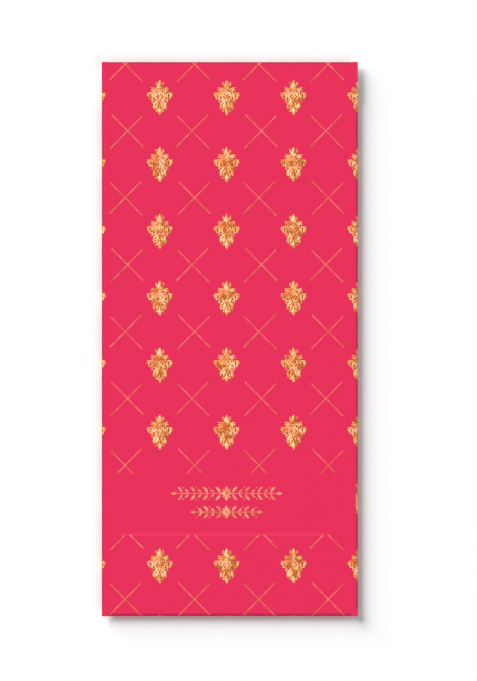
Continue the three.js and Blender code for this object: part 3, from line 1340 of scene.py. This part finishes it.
@dataclass(frozen=True)
class Area:
    """A rectangle of the blank that foil is stamped on, and how that part of the sheet lies.

    Attributes:
        low: its corner with the least u and v.
        high: the corner across.
        side: the fold that it lies past, or None on the front.
    """

    low: Vector
    high: Vector
    side: Side | None = None

    @classmethod
    def between(cls, across: Sequence[float], along: Sequence[float], side: Side | None = None) -> "Area":
        """The area from the first to the last u and v."""
        return cls(Vector((across[0], along[0])), Vector((across[1], along[1])), side)

    def spared(self, low: Vector, high: Vector) -> list["Area"]:
        """What is left of this area round a rectangle that stays plain.

        Args:
            low: the plain rectangle's corner with the least u and v.
            high: the corner across.

        Returns:
            Up to four areas.
        """
        inner_low = Vector((max(low.x, self.low.x), max(low.y, self.low.y)))
        inner_high = Vector((min(high.x, self.high.x), min(high.y, self.high.y)))
        if inner_low.x >= inner_high.x or inner_low.y >= inner_high.y:
            return [self]
        around = (
            (self.low, Vector((self.high.x, inner_low.y))),
            (Vector((self.low.x, inner_high.y)), self.high),
            (Vector((self.low.x, inner_low.y)), Vector((inner_low.x, inner_high.y))),
            (Vector((inner_high.x, inner_low.y)), Vector((self.high.x, inner_high.y))),
        )
        return [
            replace(self, low=start, high=end)
            for start, end in around
            if end.x - start.x > TOUCH and end.y - start.y > TOUCH
        ]


@dataclass(frozen=True)
class Motif:
    """One printed ornament of the lattice.

    Attributes:
        name: of the node that it would stand for.
        at: its middle on the blank.
        shape: its mesh, flat, with its middle at the origin.
        finish: of its foil.
    """

    name: str
    at: Vector
    shape: BMesh
    finish: StampedFoil

    @property
    def reach(self) -> Vector:
        """Half its width and height, measured from its middle."""
        places = [vert.co for vert in self.shape.verts]
        return Vector((max(abs(place.x) for place in places), max(abs(place.y) for place in places)))

    def stamped(self, area: Area, blank: Blank) -> BMesh | None:
        """The part of the motif that lies on one area, folded with the sheet.

        Args:
            area: where it is stamped.
            blank: the sheet.

        Returns:
            Its mesh in the frame, or None if it misses the area.
        """
        reach = self.reach
        low, high = self.at - reach, self.at + reach
        if low.x > area.high.x or low.y > area.high.y or high.x < area.low.x or high.y < area.low.y:
            return None
        shape = self.shape.copy()
        bmesh.ops.translate(shape, vec=(self.at.x, self.at.y, 0), verts=shape.verts[:])
        for axis in (Vector((1, 0, 0)), Vector((0, 1, 0))):
            first, last = (Vector((*corner, 0)) for corner in (area.low, area.high))
            if Vector((*low, 0)).dot(axis) < first.dot(axis):
                cut(shape, first, -axis, keep_behind=True)
            if Vector((*high, 0)).dot(axis) > last.dot(axis):
                cut(shape, last, axis, keep_behind=True)
        if area.side is not None:
            fold = blank.folds[area.side]
            for step in range(1, blank.bend_steps + 1):
                line = fold.side.out * (fold.flat_end + fold.arc * step / blank.bend_steps)
                cut(shape, line, fold.side.out)
        for vert in shape.verts:
            vert.co = blank.placed(vert.co, area.side)
        if not shape.faces:
            shape.free()
            return None
        return shape


@dataclass
class FoilPattern:
    """The lattice of foil medallions and crosses, which runs all over the blank but for a plain band.

    Attributes:
        blank: the sheet.
        pocket: the pocket, for the curve of its mouth.
        relief: how foil stands on the board in the medallions.
        fine_relief: how it does in the crosses and garlands.
        band_foot: from the bottom edge up to the plain band.
        band_height: of the plain band.
        band_margin: between the band's right end and the right edge.
        hidden_edge: how far the pattern runs on under a flap that covers it.
        garlands: the rows of ornament in the band.
        rows: of the lattice that can touch the blank, where 0 is the first on the front.
        columns: of the lattice likewise.
    """

    blank: Blank
    pocket: Pocket
    relief: Relief = Relief()
    fine_relief: Relief = Relief(ridge=0.02 * MM, crisp=True)
    band_foot: float = 27 * MM
    band_height: float = 20.3 * MM
    band_margin: float = 0.6 * MM
    hidden_edge: float = 0.6 * MM
    garlands: tuple[Garland, ...] = (
        Garland(middle=(-1.1, -51.2), sprigs=7, pitch=2.1, height=4.4, rosette=4.6),
        Garland(middle=(-1.1, -57.4), sprigs=4, pitch=2.1, height=4.0, rosette=4.2),
    )
    rows: range = range(-3, 11)
    columns: range = range(-5, 6)

    def motifs(self) -> Iterator[Motif]:
        """Lays out the lattice, as far as it can touch the blank.

        Returns:
            Its medallions and crosses, one by one.
        """
        def centre(node: str) -> Vector:
            """The middle of a solid of the frame."""
            low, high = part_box(node)
            return ((low + high) / 2).xy

        medallion = Medallion().shape(self.relief)
        crosses = [Cross().shape(self.fine_relief, hand) for hand in (1, -1)]
        first = centre("medallion_1_1")
        pitch = Vector((
            centre("medallion_1_2").x - first.x,
            first.y - centre("medallion_2_1").y,
        ))
        first_cross = first + Vector((-pitch.x, -pitch.y)) / 2
        for row in self.rows:
            for column in self.columns:
                step = Vector((column * pitch.x, -row * pitch.y))
                place = f"{row + 1}_{column + 1}"
                yield Motif(f"medallion_{place}", first + step, medallion, GOLD_FOIL)
                cross = crosses[(row + column) % 2]
                yield Motif(f"cross_{place}", first_cross + step, cross, HAIRLINE_FOIL)

    def plain_band(self) -> tuple[Vector, Vector]:
        """Measures the plain band on the blank, which begins at the left edge of the front.

        Returns:
            Its corner with the least u and v, and the corner across.
        """
        left = self.blank.folds[Side.LEFT]
        foot = -self.blank.half_length + self.band_foot
        return (
            Vector((-left.flat_end - left.arc / 2, foot)),
            Vector((self.blank.half_width - self.band_margin, foot + self.band_height)),
        )

    def areas(self) -> dict[str, list[Area]]:
        """Divides the printed side of the blank as it lies when folded.

        Returns:
            The areas that are stamped, by the piece of foil that they make up.
        """
        left, right, foot, head = (self.blank.folds[side] for side in Side)
        seam_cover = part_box("back_panel")[1].x
        bottom_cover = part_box("bottom_flap")[1].y
        flap_low, flap_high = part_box("closing_flap")
        back_reach = left.turned + seam_cover + left.flat_end
        band = self.plain_band()
        front = Area.between((-left.flat_end, right.flat_end), (-foot.flat_end, head.flat_end))
        ears = [
            Area.between((-self.blank.half_width, -left.flat_end), (left.stop, head.flat_end)),
            Area.between((right.flat_end, self.blank.half_width), (right.stop, head.flat_end)),
        ]
        wrap = left.turned + self.blank.half_width - foot.stop
        left_edge = Area.between((-wrap, -left.flat_end), (left.start, left.stop), Side.LEFT)
        back = Area.between((-back_reach, -wrap), (bottom_cover - self.hidden_edge, left.stop), Side.LEFT)
        seam = right.turned + right.flat_end - seam_cover + self.hidden_edge
        right_edge = Area.between((right.flat_end, seam), (right.start, right.stop), Side.RIGHT)
        bottom_reach = foot.turned + foot.flat_end + bottom_cover
        bottom = Area.between((foot.start, foot.stop), (-bottom_reach, -foot.flat_end), Side.FOOT)
        top = Area.between((head.start, head.stop), (head.flat_end, head.turned), Side.HEAD)
        flap_reach = head.turned + flap_high.y - flap_low.y
        flap = Area.between((head.start, head.stop), (head.turned + HINGE_GAP, flap_reach), Side.HEAD)
        return {
            "foil_front": [*front.spared(*band), *ears],
            "foil_left_edge": left_edge.spared(*band),
            "foil_back": [back],
            "foil_right_edge": right_edge.spared(*band),
            "foil_bottom_flap": [bottom],
            "foil_top_fold": [top],
            "foil_closing_flap": [flap],
        }

    def trim_mouth(self, shape: BMesh) -> None:
        """Cuts foil on the back along the curved mouth of the pocket.

        Args:
            shape: the foil. It is straightened along the curve, cut, and put back.
        """
        mouth = self.blank.folds[Side.LEFT].stop
        for vert in shape.verts:
            vert.co.y += self.pocket.dip(vert.co.x)
        cut(shape, Vector((0, mouth, 0)), Vector((0, 1, 0)), keep_behind=True)
        for vert in shape.verts:
            vert.co.y -= self.pocket.dip(vert.co.x)

    def trim_to(self, sheet: str, node: str) -> Callable[[BMesh], None]:
        """Cuts foil on a flap to the flap's outline.

        Args:
            sheet: the piece that the flap is part of.
            node: the flap's node, which says where it lies.

        Returns:
            The function that trims a mesh.
        """
        low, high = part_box(node)
        middle = (low + high) / 2
        board = bpy.data.objects[sheet].data
        cuts = []
        for edge in board.edges:
            start, end = (board.vertices[number].co.copy() for number in edge.vertices)
            printed = all(abs(vert.z - low.z) < TOUCH and vert.y > low.y - TOUCH for vert in (start, end))
            if edge.use_edge_sharp and printed and start.y < high.y + TOUCH:
                out = (end - start).cross(UP).normalized()
                cuts.append((start, out if out.dot(start - middle) > 0 else -out))

        def trim(shape: BMesh) -> None:
            """Cuts foil along each edge of the flap that it crosses.

            Args:
                shape: the foil.
            """
            for point, out in cuts:
                if any((vert.co - point).dot(out) > 0 for vert in shape.verts):
                    cut(shape, point, out, keep_behind=True)

        return trim

    def build(self) -> None:
        """Stamps the foil: a piece for each whole motif of the frame, and one for the rest of each area."""
        motifs = list(self.motifs())
        trims = {
            "foil_back": self.trim_mouth,
            "foil_bottom_flap": self.trim_to("pocket_sheet", "bottom_flap"),
            "foil_closing_flap": self.trim_to("closing_flap_board", "closing_flap"),
        }
        for name, areas in self.areas().items():
            rest = bmesh.new()
            for area in areas:
                for motif in motifs:
                    shape = motif.stamped(area, self.blank)
                    if shape is None:
                        continue
                    if name == "foil_front" and motif.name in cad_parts:
                        self.finish(f"foil_{motif.name}", shape, (motif.finish,), motif.name)
                        continue
                    if name in trims:
                        trims[name](shape)
                    for face in shape.faces:
                        face.material_index = FOILS.index(motif.finish)
                    add_to(rest, shape)
            self.finish(name, rest, FOILS)
        for number, garland in enumerate(self.garlands, 1):
            shape = garland.shape(self.fine_relief)
            bmesh.ops.translate(shape, vec=(0, 0, self.blank.level), verts=shape.verts[:])
            self.finish(f"foil_garland_{number}", shape, (FINE_FOIL,))

    def finish(self, name: str, shape: BMesh, foils: Sequence[Finish], node: str | None = None) -> None:
        """Makes a piece of foil and puts it on its body, all but the one on the top fold, which is left with
        no body.

        Args:
            name: of the piece.
            shape: its mesh.
            foils: one finish for each material number of its faces.
            node: the node that it replaces, if it replaces one.
        """
        for face in shape.faces:
            face.smooth = True
        piece = new_piece(name, shape, foils)
        if name == "foil_top_fold":
            bend_at_hinge(piece)
        else:
            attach(piece, "flap" if name == "foil_closing_flap" else "pocket")
        if node:
            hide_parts(node)
        report(piece)


@dataclass
class BandRule:
    """The fine double rule that is printed along the foot of the plain band.

    Attributes:
        blank: the sheet.
        start: its left end.
        stop: its right end.
        middle: how far up the blank it lies.
        gap: between the middles of its two lines.
        breadth: of each line.
        ink: how far it stands on the board, which is less than the foil does.
        cell: length of a face.
    """

    blank: Blank
    start: float = -36 * MM
    stop: float = 33 * MM
    middle: float = -64.8 * MM
    gap: float = 0.66 * MM
    breadth: float = 0.3 * MM
    ink: float = 0.003 * MM
    cell: float = 3 * MM

    def build(self) -> None:
        """Prints the two lines."""
        shape = bmesh.new()
        for side in (-1, 1):
            y = self.middle + side * self.gap / 2
            low, high = Vector((self.start, y - self.breadth / 2)), Vector((self.stop, y + self.breadth / 2))
            line = rectangle(low, high, self.blank.level + self.ink, self.cell)
            bmesh.ops.solidify(line, geom=line.faces[:], thickness=2 * self.ink)
            bmesh.ops.recalc_face_normals(line, faces=line.faces[:])
            add_to(shape, line)
        piece = new_piece("printed_band_rule", shape, (PRINTED_RULE,))
        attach(piece, "pocket")
        report(piece)


@dataclass(frozen=True)
class Softbox:
    """A wide lamp, far off.

    Attributes:
        name: of the lamp.
        strength: of its light.
        source: the way from the envelope to it.
        width: angle that it fills, in degrees.
    """

    name: str
    strength: float
    source: tuple[float, float, float]
    width: float

    def build(self) -> None:
        """Adds the lamp."""
        light = bpy.data.lights.new(self.name, "SUN")
        light.energy = self.strength
        light.angle = math.radians(self.width)
        lamp = bpy.data.objects.new(self.name, light)
        lamp.rotation_mode = "QUATERNION"
        lamp.rotation_quaternion = (-Vector(self.source)).to_track_quat("-Z", "Y")
        bpy.context.scene.collection.objects.link(lamp)


@dataclass
class Studio:
    """A plain pale table under soft light, seen from straight above as in the photograph.

    Attributes:
        level: height of the printed face of the front.
        frame_height: length that the picture covers at that level, in 681 rows of 0.3318 mm.
        middle: where the middle of the picture lies on the envelope.
        lens: the camera's focal length in millimetres.
        sensor: width of its sensor in millimetres.
        seen: how near and how far it sees.
        floor_size: width of the table.
        floor_level: its height, a little below the closing flap, as the board isn't pressed flat to it.
        glow: light that the table gives off to the eye alone, which makes it white.
        ambient: strength of the white surroundings as a light.
        lamps: the low key light from the upper left, and the high fill light from the lower right.
    """

    level: float
    frame_height: float = 681 * 0.3318 * MM
    middle: tuple[float, float] = (2.89 * MM, -0.46 * MM)
    lens: float = 200.0
    sensor: float = 36.0
    seen: tuple[float, float] = (0.01, 100.0)
    floor_size: float = 12.0
    floor_level: float = -0.3 * MM
    glow: float = 0.04
    ambient: float = 0.16
    lamps: tuple[Softbox, ...] = (
        Softbox("key_softbox", 4.7, (-1.0, 1.0, 0.72), 44.0),
        Softbox("fill_softbox", 0.78, (1.0, -1.0, 1.1), 34.0),
    )

    def camera(self) -> None:
        """Sets the camera over the envelope, looking straight down."""
        lens = bpy.data.cameras.new("camera")
        lens.lens = self.lens
        lens.sensor_width = self.sensor
        lens.clip_start, lens.clip_end = self.seen
        camera = bpy.data.objects.new("camera", lens)
        distance = self.frame_height * self.lens / self.sensor
        camera.location = (*self.middle, self.level + distance)
        bpy.context.scene.collection.objects.link(camera)
        bpy.context.scene.camera = camera

    def seen_directly(self, tree: NodeTree) -> NodeSocket:
        """Adds the nodes that tell which rays show the surroundings to the eye.

        Args:
            tree: where its nodes go.

        Returns:
            A socket that is 1 or more for a ray from the camera, a mirror or glass, and 0 for light.
        """
        path = add_node(tree, "LightPath")
        seen = path.outputs["Is Camera Ray"]
        for ray in ("Is Glossy Ray", "Is Transmission Ray"):
            seen = add_node(tree, "Math", {0: seen, 1: path.outputs[ray]}).outputs[0]
        return seen

    def surroundings(self) -> None:
        """Makes the surroundings white to the eye and in reflections, and dimmer as a light."""
        world = bpy.data.worlds.new("studio")
        world.use_nodes = True
        bpy.context.scene.world = world
        tree = world.node_tree
        tree.nodes.clear()
        strength = add_node(
            tree,
            "MapRange",
            {"Value": self.seen_directly(tree), "To Min": self.ambient, "To Max": 1.0},
        )
        white = add_node(
            tree, "Background", {"Color": linear("#ffffff"), "Strength": strength.outputs[0]}
        )
        add_node(tree, "OutputWorld", {"Surface": white.outputs[0]})

    def floor(self) -> None:
        """Lays the table, a wide sheet of matt white paper."""
        half = Vector((self.floor_size, self.floor_size)) / 2
        floor = new_piece("studio_floor", rectangle(-half, half, self.floor_level), ())
        paper = bpy.data.materials.new("matt_white_paper_sweep")
        paper.use_nodes = True
        tree = paper.node_tree
        tree.nodes.clear()
        matt = add_node(tree, "BsdfDiffuse", {"Color": linear("#fcfcfc")})
        dark, lit = (add_node(tree, "Emission", {"Strength": glow}).outputs[0] for glow in (0.0, self.glow))
        lift = add_node(tree, "MixShader", {0: self.seen_directly(tree), 1: dark, 2: lit})
        both = add_node(tree, "AddShader", {0: matt.outputs[0], 1: lift.outputs[0]})
        add_node(tree, "OutputMaterial", {"Surface": both.outputs[0]})
        floor.data.materials.append(paper)

    def build(self) -> None:
        """Sets up the camera, the lights and the table."""
        bpy.context.scene.view_settings.view_transform = "Standard"
        self.camera()
        for lamp in self.lamps:
            lamp.build()
        self.surroundings()
        self.floor()


def main() -> None:
    """Builds the envelope around the frame."""
    logging.basicConfig(level=logging.INFO, format="%(name)s: %(message)s")
    blank = Blank.of_frame()
    Studio(blank.level).build()
    pocket = Pocket(blank)
    pocket.build()
    ClosingFlap(blank).build()
    FoilPattern(blank, pocket).build()
    BandRule(blank).build()


if __name__ == "__main__":
    main()
